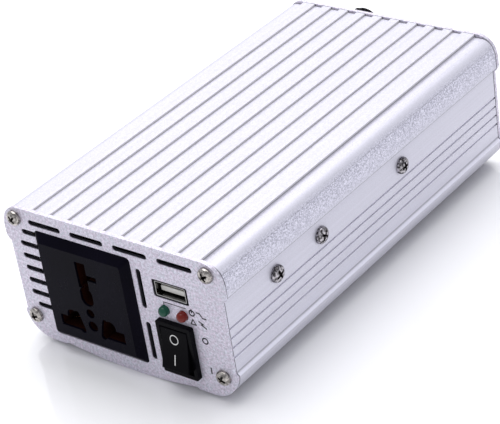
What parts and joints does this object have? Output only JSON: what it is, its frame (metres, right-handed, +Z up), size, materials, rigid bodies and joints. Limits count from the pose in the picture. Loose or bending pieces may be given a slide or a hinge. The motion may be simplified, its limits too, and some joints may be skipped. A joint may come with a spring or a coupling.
{
  "type": "power inverter",
  "caption": "Portable power inverter in a ribbed aluminium case: universal mains socket, rocker switch, USB port and lamps in front, fan and screw terminals behind",
  "frame": {"origin": "middle of the bounding box, on the plane that the lowest point of the case stands on", "axes": "X across the front panel with the rocker switch on the +X side, Y from the front panel to the rear terminals, Z up through the ribbed cover"},
  "size_m": [0.0976, 0.2, 0.056],
  "materials": {
    "anodised_aluminium": "satin anodised",
    "panel_grey": "fine speckled satin",
    "screw_steel": "dark nickel plated",
    "black_gloss": "glossy",
    "black_matte": "fine grained",
    "red_plastic": "glossy",
    "white_plastic": "smooth",
    "shell_steel": "tin plated",
    "contact_brass": "rolled sheet",
    "plated_brass": "nickel plated",
    "lamp_green": "diffused epoxy",
    "lamp_red": "diffused epoxy",
    "board_green": "solder mask",
    "chip_black": "moulded epoxy",
    "tinned_metal": "tinned",
    "pad_grey": "matt silicone",
    "ferrite": "sintered",
    "tape_yellow": "polyester tape",
    "sleeve_black": "shrunk sleeve",
    "enamel_copper": "enamelled wire",
    "fuse_amber": "translucent",
    "wire_black": "soft insulation",
    "wire_red": "soft insulation",
    "wire_blue": "soft insulation"
  },
  "bodies": {
    "case": {"base_tray": "anodised_aluminium", "bus_capacitor": "sleeve_black", "buzzer": "chip_black", "choke_core": "ferrite", "choke_winding": "enamel_copper", "circuit_board": "board_green", "control_board": "board_green", "control_chips": "chip_black", "earth_contact": "contact_brass", "fan_bearing": "contact_brass", "fan_frame": "black_matte", "fan_screws": "screw_steel", "fan_wires": "wire_red", "front_board": "board_green", "front_plate": "panel_grey", "front_screws": "screw_steel", "fuse_blades": "tinned_metal", "fuses": "fuse_amber", "green_lamp": "lamp_green", "input_capacitors": "sleeve_black", "insulator_pads": "pad_grey", "lamp_leads": "tinned_metal", "live_contact": "contact_brass", "negative_base": "black_gloss", "negative_lead": "wire_black", "negative_stud": "plated_brass", "neutral_contact": "contact_brass", "positive_base": "red_plastic", "positive_lead": "wire_red", "positive_stud": "plated_brass", "post_bushes": "black_matte", "post_nuts": "plated_brass", "rear_plate": "panel_grey", "rear_screws": "screw_steel", "red_lamp": "lamp_red", "side_screws": "screw_steel", "socket_back": "black_matte", "socket_body": "black_gloss", "socket_wires": "wire_blue", "switch_blades": "contact_brass", "switch_housing": "black_gloss", "switch_wires": "wire_black", "top_cover": "anodised_aluminium", "transformer_cores": "ferrite", "transformer_windings": "tape_yellow", "transistor_legs": "tinned_metal", "transistor_nuts": "screw_steel", "transistor_tabs": "tinned_metal", "transistors": "chip_black", "usb_contacts": "plated_brass", "usb_shell": "shell_steel", "usb_tongue": "white_plastic"},
    "rocker": {"rocker": "black_gloss"},
    "fan_rotor": {"fan_rotor": "black_matte"},
    "negative_washer": {"negative_washer": "plated_brass"},
    "negative_cap": {"negative_cap": "black_gloss"},
    "positive_washer": {"positive_washer": "plated_brass"},
    "positive_cap": {"positive_cap": "red_plastic"}
  },
  "joints": [
    {"name": "rocker_tilt", "type": "hinge", "parent": "case", "child": "rocker", "pos_m": [0.0249, -0.09364, 0.0173], "axis": [1, 0, 0], "range_deg": [0, 20]},
    {"name": "fan_spin", "type": "hinge", "parent": "case", "child": "fan_rotor", "pos_m": [0.012, 0.07126, 0.028], "axis": [0, 1, 0], "continuous": true},
    {"name": "negative_washer_slide", "type": "slide", "parent": "case", "child": "negative_washer", "axis": [0, 1, 0], "range_m": [0, 0.005]},
    {"name": "negative_cap_turn", "type": "hinge", "parent": "negative_washer", "child": "negative_cap", "pos_m": [-0.028, 0.09176, 0.037], "axis": [0, 1, 0], "range_deg": [0, 1800]},
    {"name": "positive_washer_slide", "type": "slide", "parent": "case", "child": "positive_washer", "axis": [0, 1, 0], "range_m": [0, 0.005]},
    {"name": "positive_cap_turn", "type": "hinge", "parent": "positive_washer", "child": "positive_cap", "pos_m": [-0.028, 0.09176, 0.0174], "axis": [0, 1, 0], "range_deg": [0, 1800]}
  ],
  "couplings": [
    {"joint": "negative_cap_turn", "follows": "negative_washer_slide", "rad_per_m": 6283.2},
    {"joint": "positive_cap_turn", "follows": "positive_washer_slide", "rad_per_m": 6283.2}
  ]
}
